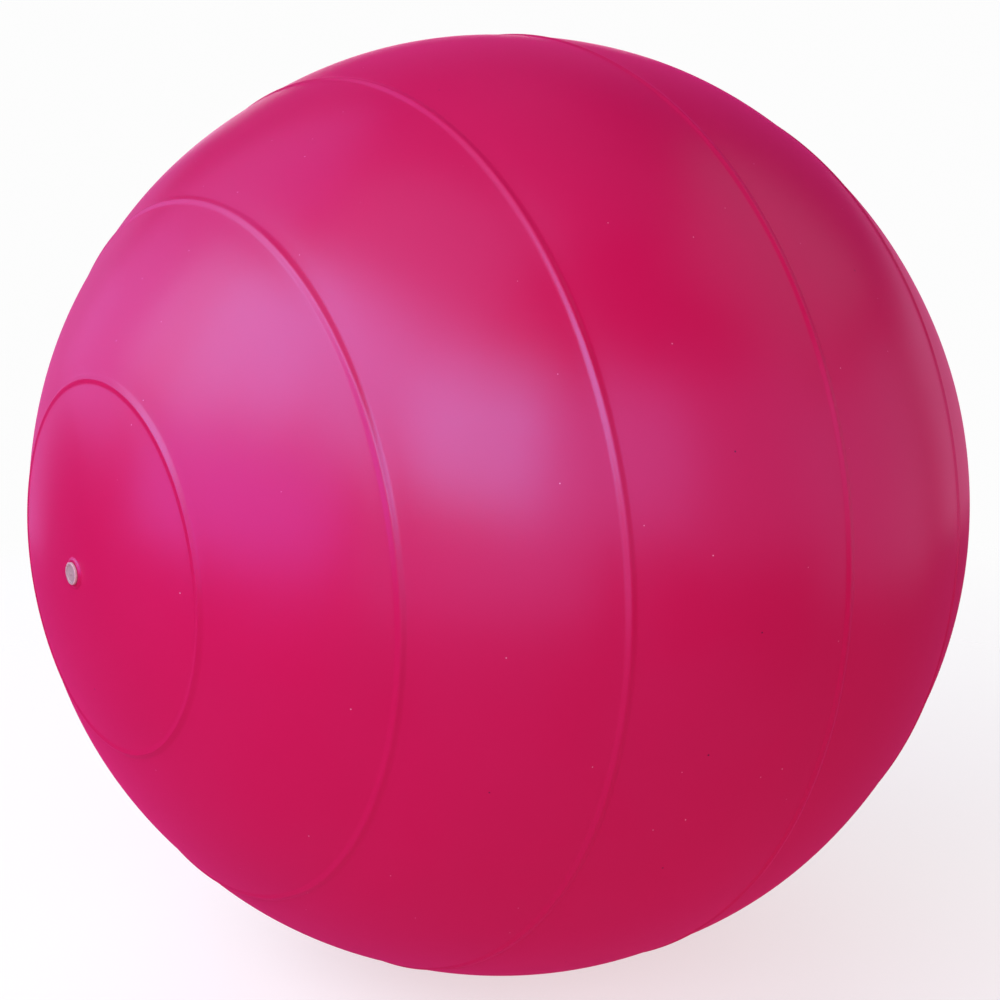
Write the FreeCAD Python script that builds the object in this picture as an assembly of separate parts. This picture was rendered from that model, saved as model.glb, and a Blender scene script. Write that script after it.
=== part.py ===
import FreeCAD, Part

import math
import os

# Inflatable exercise ball, in millimetres, +Z up.
# The origin is the ball's centre. The valve is on -Y, and every piece is round about the Y axis.

# Skin
ball_radius = 325.0
skin_wall = 0.8
rib_width = 8.4
rib_height = 1.0
# Angles of the ribs from the valve pole, on the valve's half of the ball. The other half mirrors them.
rib_angles_valve_half = [20.8, 42.6, 64.5]
equator_angle = 90.0
far_pole_angle = 180.0

# Valve seat, bonded into the hole in the skin, with a low collar that stands above the ball's surface
collar_radius = 10.2
collar_top_radius = 8.2
collar_height = 1.0
flange_radius = 17.0
flange_thickness = 1.6
neck_radius = 8.2
neck_length = 21.0
bore_radius = 5.0
bore_lead_in = 0.6

# Valve plug, pushed into the seat's bore
fit_clearance = 0.05
head_radius = 6.9
head_thickness = 1.7
head_edge_radius = 0.6
face_recess_radius = 5.3
face_recess_depth = 0.4
gate_mark_radius = 0.9
gate_mark_height = 0.25
stem_length = 19.0
stem_core_radius = 4.2
stem_tip_radius = 3.0
stem_tip_length = 4.0
sealing_ring_count = 3
sealing_ring_width = 2.0
sealing_ring_land = 0.6
first_ring_depth = 2.5
sealing_ring_pitch = 4.2

centre = FreeCAD.Vector(0, 0, 0)
y_axis = FreeCAD.Vector(0, 1, 0)
z_axis = FreeCAD.Vector(0, 0, 1)


def at(radius, outward):
    """A profile point, given its distance from the valve axis and from the centre towards the valve."""
    return FreeCAD.Vector(radius, -outward, 0)


def on_sphere(sphere_radius, angle):
    """The profile point at an angle from the valve pole, in degrees."""
    turn = math.radians(angle)
    return at(sphere_radius * math.sin(turn), sphere_radius * math.cos(turn))


def sphere_angle(sphere_radius, radius):
    """The angle from the valve pole at which a sphere is that far from the valve axis, in degrees."""
    return math.degrees(math.asin(radius / sphere_radius))


def sphere_arc(sphere_radius, start_angle, end_angle):
    """The profile's arc about the ball's centre, between two angles from the valve pole."""
    circle = Part.Circle(centre, z_axis, sphere_radius)
    pole_to_x_axis = 90.0
    start = math.radians(start_angle - pole_to_x_axis)
    end = math.radians(end_angle - pole_to_x_axis)
    return Part.ArcOfCircle(circle, min(start, end), max(start, end)).toShape()


def line(start, end):
    return Part.LineSegment(start, end).toShape()


def lines(points):
    """Straight edges through the points, in order."""
    return [line(start, end) for start, end in zip(points, points[1:])]


def revolve(edges):
    """The solid that a closed profile sweeps out in a full turn about the valve axis."""
    ordered = Part.__sortEdges__(edges)
    face = Part.Face(Part.Wire(ordered))
    full_turn = 360
    return face.revolve(centre, y_axis, full_turn)


def all_rib_angles():
    """Angles of every rib from the valve pole: the valve half, the equator and the mirrored half."""
    mirrored = [far_pole_angle - angle for angle in reversed(rib_angles_valve_half)]
    return rib_angles_valve_half + [equator_angle] + mirrored


def ball_skin():
    """The hollow skin, with its ribs moulded on the outside and a round hole for the valve seat."""
    inner_radius = ball_radius - skin_wall
    half_rib = math.degrees(rib_width / 2 / ball_radius)
    hole_outside = sphere_angle(ball_radius, collar_radius)
    hole_inside = sphere_angle(inner_radius, collar_radius)
    edges = []
    reached = hole_outside
    for angle in all_rib_angles():
        edges.append(sphere_arc(ball_radius, reached, angle - half_rib))
        rib_start = on_sphere(ball_radius, angle - half_rib)
        rib_top = on_sphere(ball_radius + rib_height, angle)
        rib_end = on_sphere(ball_radius, angle + half_rib)
        edges.append(Part.Arc(rib_start, rib_top, rib_end).toShape())
        reached = angle + half_rib
    edges.append(sphere_arc(ball_radius, reached, far_pole_angle))
    edges.append(line(at(0, -ball_radius), at(0, -inner_radius)))
    edges.append(sphere_arc(inner_radius, far_pole_angle, hole_inside))
    edges.append(line(on_sphere(inner_radius, hole_inside), on_sphere(ball_radius, hole_outside)))
    return revolve(edges)


def collar_top():
    """How far the flat top of the seat's collar lies from the ball's centre."""
    return ball_radius + collar_height


def valve_seat():
    """The thick insert: a raised collar in the skin's hole, a flange under the skin and a bored neck."""
    inner_radius = ball_radius - skin_wall
    rim_outside = on_sphere(ball_radius, sphere_angle(ball_radius, collar_radius))
    rim_inside = on_sphere(inner_radius, sphere_angle(inner_radius, collar_radius))
    flange_outer_angle = sphere_angle(inner_radius, flange_radius)
    flange_edge = on_sphere(inner_radius, flange_outer_angle)
    flange_back = -flange_edge.y - flange_thickness
    mouth = collar_top()
    neck_end = mouth - neck_length
    edges = [line(rim_outside, rim_inside)]
    edges.append(sphere_arc(inner_radius, sphere_angle(inner_radius, collar_radius), flange_outer_angle))
    edges += lines([
        flange_edge,
        at(flange_radius, flange_back),
        at(neck_radius, flange_back),
        at(neck_radius, neck_end),
        at(bore_radius, neck_end),
        at(bore_radius, mouth - bore_lead_in),
        at(bore_radius + bore_lead_in, mouth),
        at(collar_top_radius, mouth),
        rim_outside,
    ])
    return revolve(edges)


def plug_stem_points():
    """The stem's outline from under the head to its tip: a core with barbed sealing rings."""
    under_head = collar_top()
    ring_radius = bore_radius - fit_clearance
    tip_start = stem_length - stem_tip_length
    points = [at(stem_core_radius, under_head)]
    for ring in range(sealing_ring_count):
        depth = first_ring_depth + ring * sealing_ring_pitch
        points.append(at(stem_core_radius, under_head - depth))
        points.append(at(ring_radius, under_head - depth))
        points.append(at(ring_radius, under_head - depth - sealing_ring_land))
        points.append(at(stem_core_radius, under_head - depth - sealing_ring_width))
    points.append(at(stem_core_radius, under_head - tip_start))
    points.append(at(stem_tip_radius, under_head - stem_length))
    points.append(at(0, under_head - stem_length))
    return points


def valve_plug():
    """The push-in stopper: a flat round head with a raised rim, on a barbed stem."""
    under_head = collar_top()
    top = under_head + head_thickness
    recess = top - face_recess_depth
    gate_top = recess + gate_mark_height
    recess_wall_run = face_recess_depth
    edge_turn = head_edge_radius * (1 - math.sqrt(0.5))
    edge_start = at(head_radius, top - head_edge_radius)
    edge_middle = at(head_radius - edge_turn, top - edge_turn)
    edge_end = at(head_radius - head_edge_radius, top)
    edges = lines([
        at(0, gate_top),
        at(gate_mark_radius, gate_top),
        at(gate_mark_radius, recess),
        at(face_recess_radius - recess_wall_run, recess),
        at(face_recess_radius, top),
        edge_end,
    ])
    edges.append(Part.Arc(edge_end, edge_middle, edge_start).toShape())
    edges += lines([edge_start, at(head_radius, under_head)] + plug_stem_points() + [at(0, gate_top)])
    return revolve(edges)


parts = {
    "ball_skin": ball_skin,
    "valve_seat": valve_seat,
    "valve_plug": valve_plug,
}

os.makedirs("parts", exist_ok=True)
for node, make in parts.items():
    shape = make()
    shape.exportStep("parts/" + node + ".step")
    print(node, shape.ShapeType, "valid:", shape.isValid(), "volume in cubic mm:", round(shape.Volume, 1))
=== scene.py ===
import math

import bpy
import numpy as np
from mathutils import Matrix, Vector


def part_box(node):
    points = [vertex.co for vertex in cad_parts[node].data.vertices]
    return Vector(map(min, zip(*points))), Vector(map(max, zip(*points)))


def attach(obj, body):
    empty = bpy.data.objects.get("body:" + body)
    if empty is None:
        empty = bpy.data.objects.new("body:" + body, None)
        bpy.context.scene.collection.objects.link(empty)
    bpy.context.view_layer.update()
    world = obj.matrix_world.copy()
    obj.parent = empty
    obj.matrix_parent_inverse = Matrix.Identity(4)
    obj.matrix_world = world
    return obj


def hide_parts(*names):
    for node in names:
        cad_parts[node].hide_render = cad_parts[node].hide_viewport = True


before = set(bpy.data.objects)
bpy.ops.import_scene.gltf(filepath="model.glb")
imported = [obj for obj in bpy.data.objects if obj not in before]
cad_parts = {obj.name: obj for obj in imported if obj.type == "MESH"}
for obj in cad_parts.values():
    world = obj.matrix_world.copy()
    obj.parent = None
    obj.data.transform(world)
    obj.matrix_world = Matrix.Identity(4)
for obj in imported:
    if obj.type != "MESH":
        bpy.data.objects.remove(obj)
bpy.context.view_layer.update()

# ---------------------------------------------------------------- sizes, in metres
# The ball's centre is the origin, and the valve is on -Y. Every piece is round about the Y axis.
MM = 0.001
skin_low, skin_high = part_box("ball_skin")
seat_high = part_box("valve_seat")[1]
plug_low, plug_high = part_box("valve_plug")

# Skin. Angles are in degrees from the valve pole.
BALL_RADIUS = skin_high.y
RIB_HEIGHT = 1.0 * MM
RIB_WIDTH = 8.4 * MM
SKIN_WALL = 0.8 * MM
RIB_ANGLES_VALVE_HALF = [20.8, 42.6, 64.5]
EQUATOR_ANGLE = 90.0
FAR_POLE_ANGLE = 180.0

# Seat
COLLAR_RADIUS = 10.2 * MM
COLLAR_TOP_RADIUS = 8.2 * MM
COLLAR_TOP = BALL_RADIUS + 1.0 * MM
FLANGE_RADIUS = seat_high.x
FLANGE_THICKNESS = 1.6 * MM
NECK_RADIUS = 8.2 * MM
NECK_END = -seat_high.y
BORE_RADIUS = 5.0 * MM
BORE_LEAD_IN = 0.6 * MM

# Plug
HEAD_RADIUS = plug_high.x
HEAD_TOP = -plug_low.y
FACE_RECESS_RADIUS = 5.3 * MM
FACE_RECESS_DEPTH = 0.4 * MM
GATE_MARK_RADIUS = 0.9 * MM
GATE_MARK_HEIGHT = 0.25 * MM
STEM_CORE_RADIUS = 4.2 * MM
STEM_TIP = -plug_high.y
STEM_TIP_RADIUS = 3.0 * MM
STEM_TIP_LENGTH = 4.0 * MM
SEALING_RING_COUNT = 3
SEALING_RING_RADIUS = BORE_RADIUS - 0.05 * MM
SEALING_RING_WIDTH = 2.0 * MM
SEALING_RING_LAND = 0.6 * MM
FIRST_RING_DEPTH = 2.5 * MM
SEALING_RING_PITCH = 4.2 * MM

# ---------------------------------------------------------------- camera and lights
CAMERA_AZIMUTH = 51.9
CAMERA_ELEVATION = 11.8
CAMERA_DISTANCE = 3.8 * BALL_RADIUS
CAMERA_LENS = 62.1
CAMERA_SHIFT = (0.001, 0.005)


def direction(azimuth, elevation):
    """The unit vector towards a viewer at that azimuth and elevation. Azimuth 0 looks along +Y."""
    turn, lift = math.radians(azimuth), math.radians(elevation)
    return Vector((math.sin(turn) * math.cos(lift), -math.cos(turn) * math.cos(lift), math.sin(lift)))


def look_at_ball(thing, back):
    """Turns a camera or light so that it faces the ball's centre from that side."""
    thing.rotation_euler = back.to_track_quat("Z", "Y").to_euler()


def add_camera():
    data = bpy.data.cameras.new("camera")
    data.lens = CAMERA_LENS
    data.shift_x, data.shift_y = CAMERA_SHIFT
    camera = bpy.data.objects.new("camera", data)
    bpy.context.scene.collection.objects.link(camera)
    back = direction(CAMERA_AZIMUTH, CAMERA_ELEVATION)
    camera.location = back * CAMERA_DISTANCE
    look_at_ball(camera, back)
    bpy.context.scene.camera = camera


def add_softbox(name, azimuth, elevation, distance, width, height, power, color, mirrored):
    """A large soft area light that faces the ball, and that the ball's gloss mirrors or not."""
    data = bpy.data.lights.new(name, "AREA")
    data.shape = "RECTANGLE"
    data.size = width
    data.size_y = height
    data.energy = power
    data.color = color
    light = bpy.data.objects.new(name, data)
    bpy.context.scene.collection.objects.link(light)
    light.visible_camera = False
    light.visible_glossy = mirrored
    back = direction(azimuth, elevation)
    light.location = back * distance
    look_at_ball(light, back)


NEUTRAL = (1.0, 1.0, 1.0)
COOL = (0.95, 1.0, 1.1)
LILAC = (1.0, 0.75, 1.7)
ROSE = (1.2, 0.65, 0.9)

# Each light's azimuth and elevation in degrees, distance, width and height in metres, power in watts,
# and tint.
SOFTBOXES = {
    "arc_1": (-34.0, 31.0, 2.3, 1.2, 1.2, 7.5, COOL),
    "arc_2": (-14.0, 36.0, 2.3, 1.2, 1.2, 10.5, COOL),
    "arc_3": (6.0, 38.0, 2.3, 1.2, 1.2, 7.5, COOL),
    "arc_4": (26.0, 33.0, 2.3, 1.2, 1.2, 6.0, COOL),
    "arc_5": (46.0, 26.0, 2.3, 1.2, 1.2, 15.0, NEUTRAL),
    "high_front": (20.0, 64.0, 2.3, 1.6, 1.4, 4.0, COOL),
    "low_left": (-8.0, 8.0, 2.4, 2.4, 1.0, 8.0, LILAC),
    "far_left": (-60.0, 20.0, 2.3, 1.4, 1.2, 4.0, LILAC),
    "high_left": (-62.0, 50.0, 2.3, 1.4, 1.2, 2.5, LILAC),
    "left_rim": (-92.0, 4.0, 2.4, 1.6, 1.4, 2.5, LILAC),
    "low_front": (50.0, -4.0, 2.6, 2.4, 0.8, 6.0, ROSE),
    "front_right": (72.0, 20.0, 2.3, 1.6, 1.2, 9.0, ROSE),
    "right": (108.0, 14.0, 2.3, 1.8, 1.4, 4.5, ROSE),
    "right_rim": (145.0, 4.0, 2.4, 1.6, 1.4, 4.0, ROSE),
    "high_right": (150.0, 42.0, 2.4, 1.8, 1.4, 3.0, NEUTRAL),
    "back_right": (190.0, 2.0, 2.4, 1.6, 1.0, 2.5, ROSE),
    "back": (238.0, 6.0, 2.4, 1.3, 1.2, 9.0, NEUTRAL),
    "top": (0.0, 88.0, 2.4, 2.2, 2.2, 3.0, ROSE),
}
# Fills brighten the ball without mirroring in its gloss.
FILLS = {
    "low_side": (-5.0, 2.0, 2.4, 2.0, 0.6, 3.5, LILAC),
    "back_fill": (245.0, 30.0, 2.5, 2.4, 1.8, 24.0, NEUTRAL),
}
FLOOR_BOUNCE = 15.5
FLOOR_BOUNCE_SIZE = 2.6
FLOOR_BOUNCE_TINT = (1.25, 0.6, 0.7)


def add_lights():
    for name, settings in SOFTBOXES.items():
        add_softbox(name, *settings, mirrored=True)
    for name, settings in FILLS.items():
        add_softbox(name, *settings, mirrored=False)
    # The light that the pale floor throws up at the ball, from just above the floor.
    straight_down = -90.0
    distance = -skin_low.z - 1 * MM
    add_softbox("floor_bounce", 0.0, straight_down, distance, FLOOR_BOUNCE_SIZE, FLOOR_BOUNCE_SIZE,
                FLOOR_BOUNCE, FLOOR_BOUNCE_TINT, mirrored=False)


# ---------------------------------------------------------------- node helpers
def new_material(name):
    """A material with only a Principled shader set up. Returns the material, its nodes and the shader."""
    material = bpy.data.materials.new(name)
    material.use_nodes = True
    nodes = material.node_tree.nodes
    shader = next(node for node in nodes if node.type == "BSDF_PRINCIPLED")
    return material, nodes, shader


def wire(material, source, target):
    material.node_tree.links.new(source, target)


def object_coordinates(nodes):
    return nodes.new("ShaderNodeTexCoord").outputs["Object"]


def noise(material, nodes, coordinates, scale, detail, distortion=0.0):
    """A noise texture in the piece's own space. Returns its value output."""
    texture = nodes.new("ShaderNodeTexNoise")
    texture.inputs["Scale"].default_value = scale
    texture.inputs["Detail"].default_value = detail
    texture.inputs["Distortion"].default_value = distortion
    wire(material, coordinates, texture.inputs["Vector"])
    return texture.outputs["Fac"]


def remap(material, nodes, value, low, high, new_low, new_high):
    """Stretches low..high of a value to new_low..new_high, clamped."""
    node = nodes.new("ShaderNodeMapRange")
    node.inputs["From Min"].default_value = low
    node.inputs["From Max"].default_value = high
    node.inputs["To Min"].default_value = new_low
    node.inputs["To Max"].default_value = new_high
    wire(material, value, node.inputs["Value"])
    return node.outputs["Result"]


# The Mix node's colour sockets. Its other kinds of socket have the same names.
MIX_FIRST_COLOR = 6
MIX_SECOND_COLOR = 7
MIX_RESULT_COLOR = 2


def mix_colors(material, nodes, factor, first, second):
    """A colour between two others. Each is a colour or another node's output."""
    node = nodes.new("ShaderNodeMix")
    node.data_type = "RGBA"
    wire(material, factor, node.inputs["Factor"])
    for index, color in ((MIX_FIRST_COLOR, first), (MIX_SECOND_COLOR, second)):
        socket = node.inputs[index]
        if isinstance(color, tuple):
            socket.default_value = (*color, 1.0)
        else:
            wire(material, color, socket)
    return node.outputs[MIX_RESULT_COLOR]


def length(material, nodes, vector):
    node = nodes.new("ShaderNodeVectorMath")
    node.operation = "LENGTH"
    wire(material, vector, node.inputs[0])
    return node.outputs["Value"]


def dust(material, nodes, coordinates, scale, radius):
    """One where a speck lies and zero elsewhere: at most one small speck in each cell of that scale."""
    cells = nodes.new("ShaderNodeTexVoronoi")
    cells.inputs["Scale"].default_value = scale
    wire(material, coordinates, cells.inputs["Vector"])
    soft_edge = radius * 1.6
    return remap(material, nodes, cells.outputs["Distance"], radius, soft_edge, 1.0, 0.0)


def bump(material, nodes, height, strength, distance):
    node = nodes.new("ShaderNodeBump")
    node.inputs["Strength"].default_value = strength
    node.inputs["Distance"].default_value = distance
    wire(material, height, node.inputs["Height"])
    return node.outputs["Normal"]


# ---------------------------------------------------------------- materials
VINYL_PINK = (0.52, 0.0008, 0.066)
VINYL_PINK_DEEP = (0.50, 0.0008, 0.061)
VINYL_GLOSS_TINT = (0.08, 0.37, 0.88, 1.0)
VINYL_SHEEN_TINT = (1.0, 0.05, 0.35, 1.0)
PALE_SPECK = (0.75, 0.35, 0.5)
DARK_SPECK = (0.12, 0.004, 0.02)

PLUG_FACE = (0.40, 0.295, 0.295)
PLUG_FACE_DEEP = (0.36, 0.265, 0.265)
# A painted highlight: the band round the rim of the plug's face is painted lighter, in place of the light on
# its bevel.
PLUG_RIM_HIGHLIGHT = (0.54, 0.38, 0.40)
PLUG_RIM_HIGHLIGHT_START = 5.8 * MM
PLUG_RIM_HIGHLIGHT_FULL = 6.5 * MM


def vinyl_material(name):
    """Satin inflated vinyl: hot pink, with a fine moulded grain, a cloudy gloss and specks of dust."""
    material, nodes, shader = new_material(name)
    coordinates = object_coordinates(nodes)
    clouds = noise(material, nodes, coordinates, scale=5.0, detail=3.0)
    tone = remap(material, nodes, clouds, 0.35, 0.65, 0.0, 1.0)
    pink = mix_colors(material, nodes, tone, VINYL_PINK, VINYL_PINK_DEEP)
    pale_specks = dust(material, nodes, coordinates, scale=60.0, radius=0.018)
    dusty = mix_colors(material, nodes, pale_specks, pink, PALE_SPECK)
    dark_specks = dust(material, nodes, coordinates, scale=30.0, radius=0.014)
    specked = mix_colors(material, nodes, dark_specks, dusty, DARK_SPECK)
    wire(material, specked, shader.inputs["Base Color"])
    smears = noise(material, nodes, coordinates, scale=14.0, detail=4.0, distortion=0.6)
    wire(material, remap(material, nodes, smears, 0.3, 0.7, 0.30, 0.34), shader.inputs["Roughness"])
    grain = noise(material, nodes, coordinates, scale=1600.0, detail=2.0)
    shader.inputs["IOR"].default_value = 1.6
    shader.inputs["Specular IOR Level"].default_value = 1.0
    shader.inputs["Specular Tint"].default_value = VINYL_GLOSS_TINT
    shader.inputs["Sheen Weight"].default_value = 0.5
    shader.inputs["Sheen Roughness"].default_value = 0.5
    shader.inputs["Sheen Tint"].default_value = VINYL_SHEEN_TINT
    wire(material, bump(material, nodes, grain, strength=0.15, distance=0.2 * MM), shader.inputs["Normal"])
    return material


def plug_material():
    """Off-white moulded plastic, with a highlight painted on as a lighter band round the rim of its face."""
    material, nodes, shader = new_material("plug_plastic")
    coordinates = object_coordinates(nodes)
    clouds = noise(material, nodes, coordinates, scale=220.0, detail=3.0)
    tone = remap(material, nodes, clouds, 0.3, 0.7, 0.0, 1.0)
    face = mix_colors(material, nodes, tone, PLUG_FACE, PLUG_FACE_DEEP)
    off_axis = nodes.new("ShaderNodeVectorMath")
    off_axis.operation = "MULTIPLY"
    off_axis.inputs[1].default_value = (1.0, 0.0, 1.0)
    wire(material, coordinates, off_axis.inputs[0])
    from_axis = length(material, nodes, off_axis.outputs["Vector"])
    # Painted highlight: the colour grows lighter towards the face's rim, where its bevel catches the light.
    rim_highlight = remap(material, nodes, from_axis, PLUG_RIM_HIGHLIGHT_START, PLUG_RIM_HIGHLIGHT_FULL, 0.0, 1.0)
    wire(material, mix_colors(material, nodes, rim_highlight, face, PLUG_RIM_HIGHLIGHT), shader.inputs["Base Color"])
    grain = noise(material, nodes, coordinates, scale=3000.0, detail=1.0)
    wire(material, remap(material, nodes, clouds, 0.3, 0.7, 0.42, 0.55), shader.inputs["Roughness"])
    wire(material, bump(material, nodes, grain, strength=0.2, distance=0.1 * MM), shader.inputs["Normal"])
    return material


FLOOR_NEAR = 0.4
FLOOR_FAR = 1.5
FLOOR_GLOW = 0.62
FLOOR_PAINT = 0.4
BACKDROP_WHITE = 0.98


def floor_material():
    """A pale matt floor that fades out away from the ball, so the backdrop behind it shows."""
    material, nodes, shader = new_material("floor")
    shader.inputs["Base Color"].default_value = (FLOOR_PAINT, FLOOR_PAINT, FLOOR_PAINT, 1.0)
    shader.inputs["Roughness"].default_value = 1.0
    shader.inputs["Specular IOR Level"].default_value = 0.0
    shader.inputs["Emission Color"].default_value = (1.0, 1.0, 1.0, 1.0)
    shader.inputs["Emission Strength"].default_value = FLOOR_GLOW
    from_middle = length(material, nodes, object_coordinates(nodes))
    solid = remap(material, nodes, from_middle, FLOOR_NEAR, FLOOR_FAR, 1.0, 0.0)
    wire(material, solid, shader.inputs["Alpha"])
    return material


def backdrop_material():
    """Plain white, the same from everywhere."""
    material, nodes, shader = new_material("backdrop")
    shader.inputs["Base Color"].default_value = (0.0, 0.0, 0.0, 1.0)
    shader.inputs["Specular IOR Level"].default_value = 0.0
    shader.inputs["Emission Color"].default_value = (BACKDROP_WHITE, BACKDROP_WHITE, BACKDROP_WHITE, 1.0)
    shader.inputs["Emission Strength"].default_value = 1.0
    return material


# ---------------------------------------------------------------- mesh helpers
def add_mesh(name, vertices, faces, material):
    mesh = bpy.data.meshes.new(name)
    mesh.from_pydata(vertices, [], faces)
    mesh.materials.append(material)
    piece = bpy.data.objects.new(name, mesh)
    bpy.context.scene.collection.objects.link(piece)
    return piece


def lathe(name, profile, segments, material, sharp_angle=None):
    """A mesh turned about the Y axis. The profile is a closed loop of (radius, distance towards the valve)
    points, or an open one that starts and ends on the axis."""
    on_axis = 1e-7
    vertices = []
    rings = []
    for radius, outward in profile:
        count = 1 if radius < on_axis else segments
        rings.append(list(range(len(vertices), len(vertices) + count)))
        for step in range(count):
            turn = 2 * math.pi * step / segments
            vertices.append((radius * math.sin(turn), -outward, radius * math.cos(turn)))
    open_profile = len(rings[0]) == 1 and len(rings[-1]) == 1
    next_rings = rings[1:] if open_profile else rings[1:] + rings[:1]
    faces = []
    for first, second in zip(rings, next_rings):
        for step in range(segments):
            after = (step + 1) % segments
            corners = [first[step % len(first)], first[after % len(first)],
                       second[after % len(second)], second[step % len(second)]]
            unique = list(dict.fromkeys(corners))
            if len(unique) > 2:
                faces.append(unique)
    piece = add_mesh(name, vertices, faces, material)
    mesh = piece.data
    mesh.validate()
    mesh.shade_smooth()
    if sharp_angle is not None:
        mesh.set_sharp_from_angle(angle=math.radians(sharp_angle))
    return piece


def rounded(points, radius, steps=4):
    """The points of an outline with each inner corner rounded by an arc-like curve of about that radius."""
    most_of_edge = 0.45
    outline = [points[0]]
    for before, corner, after in zip(points, points[1:], points[2:]):
        p, q, r = Vector(before), Vector(corner), Vector(after)
        cut = min(radius, (p - q).length * most_of_edge, (r - q).length * most_of_edge)
        start = q + (p - q).normalized() * cut
        end = q + (r - q).normalized() * cut
        for step in range(steps + 1):
            t = step / steps
            outline.append(tuple(start * (1 - t) ** 2 + q * 2 * t * (1 - t) + end * t ** 2))
    outline.append(points[-1])
    return outline


# ---------------------------------------------------------------- the skin
SKIN_SEGMENTS = 512
SKIN_SHARP_ANGLE = 50
COARSE_STEP_ANGLE = 1.0
STEPS_ON_RIB = 14
INNER_STEPS = 120

# A rib is part plain wave and part ridge with a rounded crest.
RIB_WAVE_SHARE = 0.4
CREST_ROUNDING = 0.12

# The skin lies above the plain sphere in the middle of each band between ribs, and below it beside them.
BAND_BULGE = 0.7 * MM
BAND_RISE_SHARE = 0.6

UNDULATION = 0.22 * MM
UNDULATION_WAVES = 24
UNDULATION_SEED = 11
FEWEST_RIPPLES = 6.0
MOST_RIPPLES = 18.0
# How far from the valve axis the unevenness starts and over how much it grows, as shares of the radius.
UNEVEN_START = 0.04
UNEVEN_GROWTH = 0.12


def rib_angles():
    mirrored = [FAR_POLE_ANGLE - angle for angle in reversed(RIB_ANGLES_VALVE_HALF)]
    return RIB_ANGLES_VALVE_HALF + [EQUATOR_ANGLE] + mirrored


def half_rib_angle():
    return math.degrees(RIB_WIDTH / 2 / BALL_RADIUS)


def band_rise(angle):
    """How far the skin lies from the plain sphere between two ribs: the air swells each band a little."""
    edges = rib_angles()
    if not edges[0] < angle < edges[-1]:
        return 0.0
    start = max(edge for edge in edges if edge <= angle)
    end = min(edge for edge in edges if edge > angle)
    across = (angle - start) / (end - start) * 2 - 1
    return BAND_BULGE * (BAND_RISE_SHARE - across ** 2)


def rib_rise(angle):
    """How far the ribs lift the skin at an angle from the valve pole. Each rib is a low rounded ridge."""
    for rib in rib_angles():
        offset = abs(angle - rib) / half_rib_angle()
        if offset < 1:
            wave = 0.5 * (1 + math.cos(math.pi * offset))
            roof = 1 - math.hypot(offset, CREST_ROUNDING) + CREST_ROUNDING
            return RIB_HEIGHT * wave * (RIB_WAVE_SHARE + (1 - RIB_WAVE_SHARE) * roof)
    return 0.0


def skin_angles():
    """Angles from the valve hole to the far pole, close together on the ribs."""
    edges = [math.degrees(math.asin(COLLAR_RADIUS / BALL_RADIUS))]
    for rib in rib_angles():
        edges += [rib - half_rib_angle(), rib + half_rib_angle()]
    edges.append(FAR_POLE_ANGLE)
    angles = []
    for index, (start, end) in enumerate(zip(edges, edges[1:])):
        on_rib = index % 2 == 1
        steps = STEPS_ON_RIB if on_rib else math.ceil((end - start) / COARSE_STEP_ANGLE)
        angles += [start + (end - start) * step / steps for step in range(steps)]
    return angles + [FAR_POLE_ANGLE]


def undulate(piece):
    """Gives the skin the faint unevenness of inflated vinyl, fading out at the valve."""
    random = np.random.default_rng(UNDULATION_SEED)
    count = len(piece.data.vertices)
    flat = np.empty(count * 3, np.float32)
    piece.data.vertices.foreach_get("co", flat)
    points = flat.reshape(-1, 3).astype(float)
    outward = points / np.linalg.norm(points, axis=1, keepdims=True)
    height = np.zeros(count)
    for wave in range(UNDULATION_WAVES):
        heading = random.normal(size=3)
        heading /= np.linalg.norm(heading)
        ripples = random.uniform(FEWEST_RIPPLES, MOST_RIPPLES)
        phase = random.uniform(0.0, 2 * math.pi)
        height += np.sin(outward @ heading * ripples + phase)
    height *= UNDULATION / math.sqrt(UNDULATION_WAVES / 2)
    from_axis = np.hypot(outward[:, 0], outward[:, 2])
    valve_half = outward[:, 1] < 0
    fade = np.where(valve_half, np.clip((from_axis - UNEVEN_START) / UNEVEN_GROWTH, 0.0, 1.0), 1.0)
    points += outward * (height * fade * fade * (3 - 2 * fade))[:, None]
    piece.data.vertices.foreach_set("co", points.astype(np.float32).ravel())
    piece.data.update()


def outer_profile():
    """The skin's outer outline from the hole's edge to the far pole."""
    outer = []
    for angle in skin_angles():
        turn = math.radians(angle)
        radius = BALL_RADIUS + rib_rise(angle) + band_rise(angle)
        outer.append((radius * math.sin(turn), radius * math.cos(turn)))
    outer[-1] = (0.0, -BALL_RADIUS)
    return outer


def inner_profile():
    """The skin's inner outline from the far pole back to the hole's edge."""
    inner_radius = BALL_RADIUS - SKIN_WALL
    hole = math.asin(COLLAR_RADIUS / inner_radius)
    inner = []
    for step in range(INNER_STEPS + 1):
        turn = math.pi + (hole - math.pi) * step / INNER_STEPS
        inner.append((inner_radius * math.sin(turn), inner_radius * math.cos(turn)))
    inner[0] = (0.0, -inner_radius)
    return inner


def build_skin(material):
    skin = lathe("skin", outer_profile() + inner_profile(), SKIN_SEGMENTS, material, SKIN_SHARP_ANGLE)
    undulate(skin)
    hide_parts("ball_skin")
    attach(skin, "ball")


# ---------------------------------------------------------------- the valve
VALVE_SEGMENTS = 128
VALVE_SHARP_ANGLE = 40
SEAT_CORNER = 0.4 * MM
FLANK_STEPS = 12
HEAD_CORNER = 0.55 * MM
STEM_CORNER = 0.15 * MM


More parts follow.
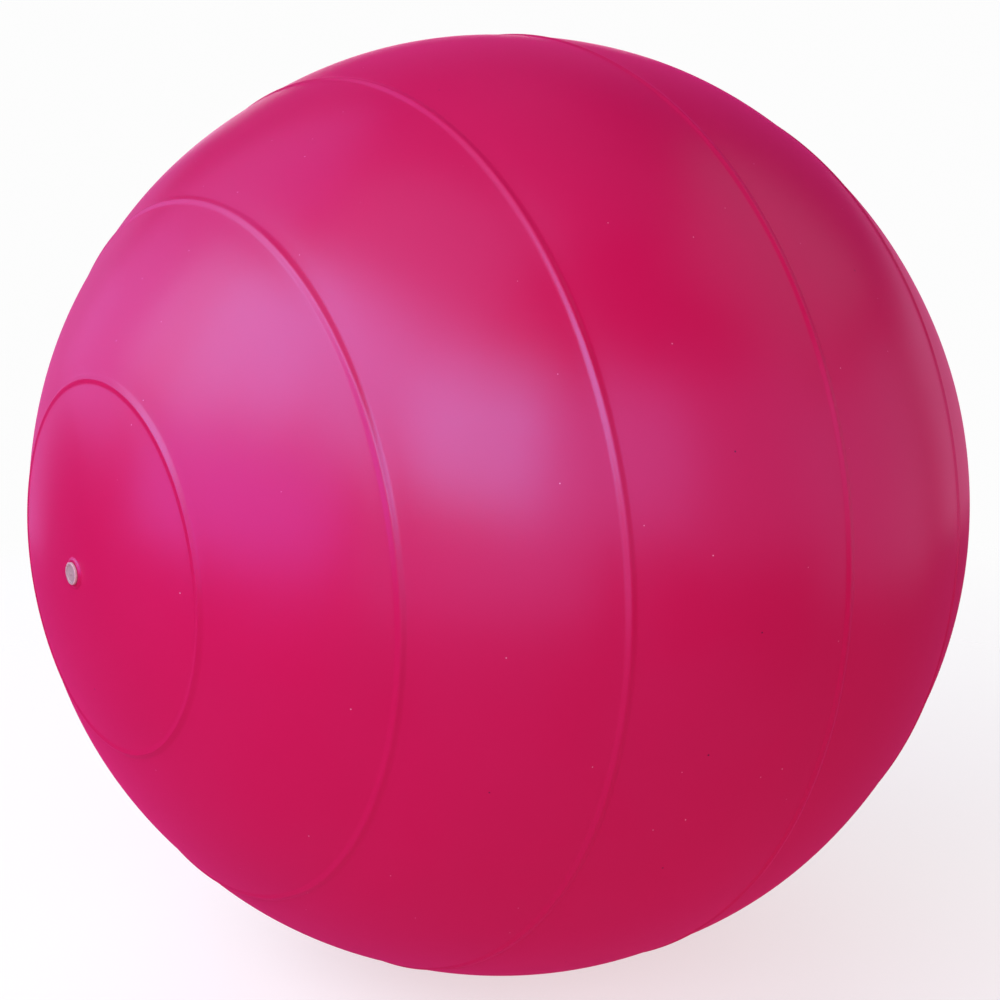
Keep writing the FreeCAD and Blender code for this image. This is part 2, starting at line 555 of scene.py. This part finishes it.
def seat_profile():
    """The seat's closed outline: its part under the skin, the bore, the collar's top and soft flank."""
    inner_radius = BALL_RADIUS - SKIN_WALL
    rim_top = math.sqrt(BALL_RADIUS ** 2 - COLLAR_RADIUS ** 2)
    rim_under = math.sqrt(inner_radius ** 2 - COLLAR_RADIUS ** 2)
    flange_top = math.sqrt(inner_radius ** 2 - FLANGE_RADIUS ** 2)
    flange_back = flange_top - FLANGE_THICKNESS
    flank_start = COLLAR_TOP_RADIUS - BORE_LEAD_IN
    body = rounded([
        (COLLAR_RADIUS, rim_top),
        (COLLAR_RADIUS, rim_under),
        (FLANGE_RADIUS, flange_top),
        (FLANGE_RADIUS, flange_back),
        (NECK_RADIUS, flange_back),
        (NECK_RADIUS, NECK_END),
        (BORE_RADIUS, NECK_END),
        (BORE_RADIUS, COLLAR_TOP - BORE_LEAD_IN),
        (BORE_RADIUS + BORE_LEAD_IN, COLLAR_TOP),
        (flank_start, COLLAR_TOP),
    ], SEAT_CORNER)
    flank = []
    for step in range(1, FLANK_STEPS):
        across = step / FLANK_STEPS
        radius = flank_start + (COLLAR_RADIUS - flank_start) * across
        fall = 0.5 - 0.5 * math.cos(math.pi * across)
        flank.append((radius, COLLAR_TOP + (rim_top - COLLAR_TOP) * fall))
    return body + flank


def build_seat(material):
    seat = lathe("valve_collar", seat_profile(), VALVE_SEGMENTS, material, VALVE_SHARP_ANGLE)
    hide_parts("valve_seat")
    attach(seat, "ball")


def plug_profile():
    """The plug's outline from the middle of its face to its tip."""
    recess = HEAD_TOP - FACE_RECESS_DEPTH
    gate_top = recess + GATE_MARK_HEIGHT
    head = rounded([
        (0.0, gate_top),
        (GATE_MARK_RADIUS, gate_top),
        (GATE_MARK_RADIUS, recess),
        (FACE_RECESS_RADIUS - FACE_RECESS_DEPTH, recess),
        (FACE_RECESS_RADIUS, HEAD_TOP),
        (HEAD_RADIUS, HEAD_TOP),
        (HEAD_RADIUS, COLLAR_TOP),
        (STEM_CORE_RADIUS, COLLAR_TOP),
    ], HEAD_CORNER)
    stem = []
    for ring in range(SEALING_RING_COUNT):
        ring_top = COLLAR_TOP - FIRST_RING_DEPTH - ring * SEALING_RING_PITCH
        stem.append((STEM_CORE_RADIUS, ring_top))
        stem.append((SEALING_RING_RADIUS, ring_top))
        stem.append((SEALING_RING_RADIUS, ring_top - SEALING_RING_LAND))
        stem.append((STEM_CORE_RADIUS, ring_top - SEALING_RING_WIDTH))
    stem.append((STEM_CORE_RADIUS, STEM_TIP + STEM_TIP_LENGTH))
    stem.append((STEM_TIP_RADIUS, STEM_TIP))
    stem.append((0.0, STEM_TIP))
    return head + rounded(stem, STEM_CORNER, steps=2)


def build_plug(material):
    plug = lathe("stopper", plug_profile(), VALVE_SEGMENTS, material, VALVE_SHARP_ANGLE)
    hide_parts("valve_plug")
    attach(plug, "plug")


# ---------------------------------------------------------------- the stage
FLOOR_HALF_WIDTH = 4.0
BACKDROP_RADIUS = 30.0
BACKDROP_STEPS = 24
BACKDROP_SEGMENTS = 48
STUDIO_GREY = 0.015


def build_floor():
    """A flat floor under the ball. It takes the ball's shadow, but lights nothing and mirrors in nothing."""
    half, height = FLOOR_HALF_WIDTH, skin_low.z
    corners = [(-half, -half, height), (half, -half, height), (half, half, height), (-half, half, height)]
    floor = add_mesh("floor", corners, [(0, 1, 2, 3)], floor_material())
    floor.visible_glossy = False
    floor.visible_diffuse = False


def build_backdrop():
    """A great white ball round the whole studio: only a background, that lights and mirrors in nothing."""
    angles = [math.pi * step / BACKDROP_STEPS for step in range(BACKDROP_STEPS + 1)]
    profile = [(BACKDROP_RADIUS * math.sin(angle), BACKDROP_RADIUS * math.cos(angle)) for angle in angles]
    profile[0], profile[-1] = (0.0, BACKDROP_RADIUS), (0.0, -BACKDROP_RADIUS)
    backdrop = lathe("backdrop", profile, BACKDROP_SEGMENTS, backdrop_material())
    backdrop.visible_diffuse = False
    backdrop.visible_glossy = False
    backdrop.visible_transmission = False
    backdrop.visible_shadow = False


def set_world():
    world = bpy.data.worlds.new("studio")
    world.use_nodes = True
    background = next(node for node in world.node_tree.nodes if node.type == "BACKGROUND")
    background.inputs["Color"].default_value = (STUDIO_GREY, STUDIO_GREY, STUDIO_GREY, 1.0)
    background.inputs["Strength"].default_value = 1.0
    bpy.context.scene.world = world


bpy.context.scene.view_settings.view_transform = "Standard"
set_world()
add_camera()
add_lights()
build_floor()
build_backdrop()
build_skin(vinyl_material("skin_vinyl"))
build_seat(vinyl_material("seat_vinyl"))
build_plug(plug_material())
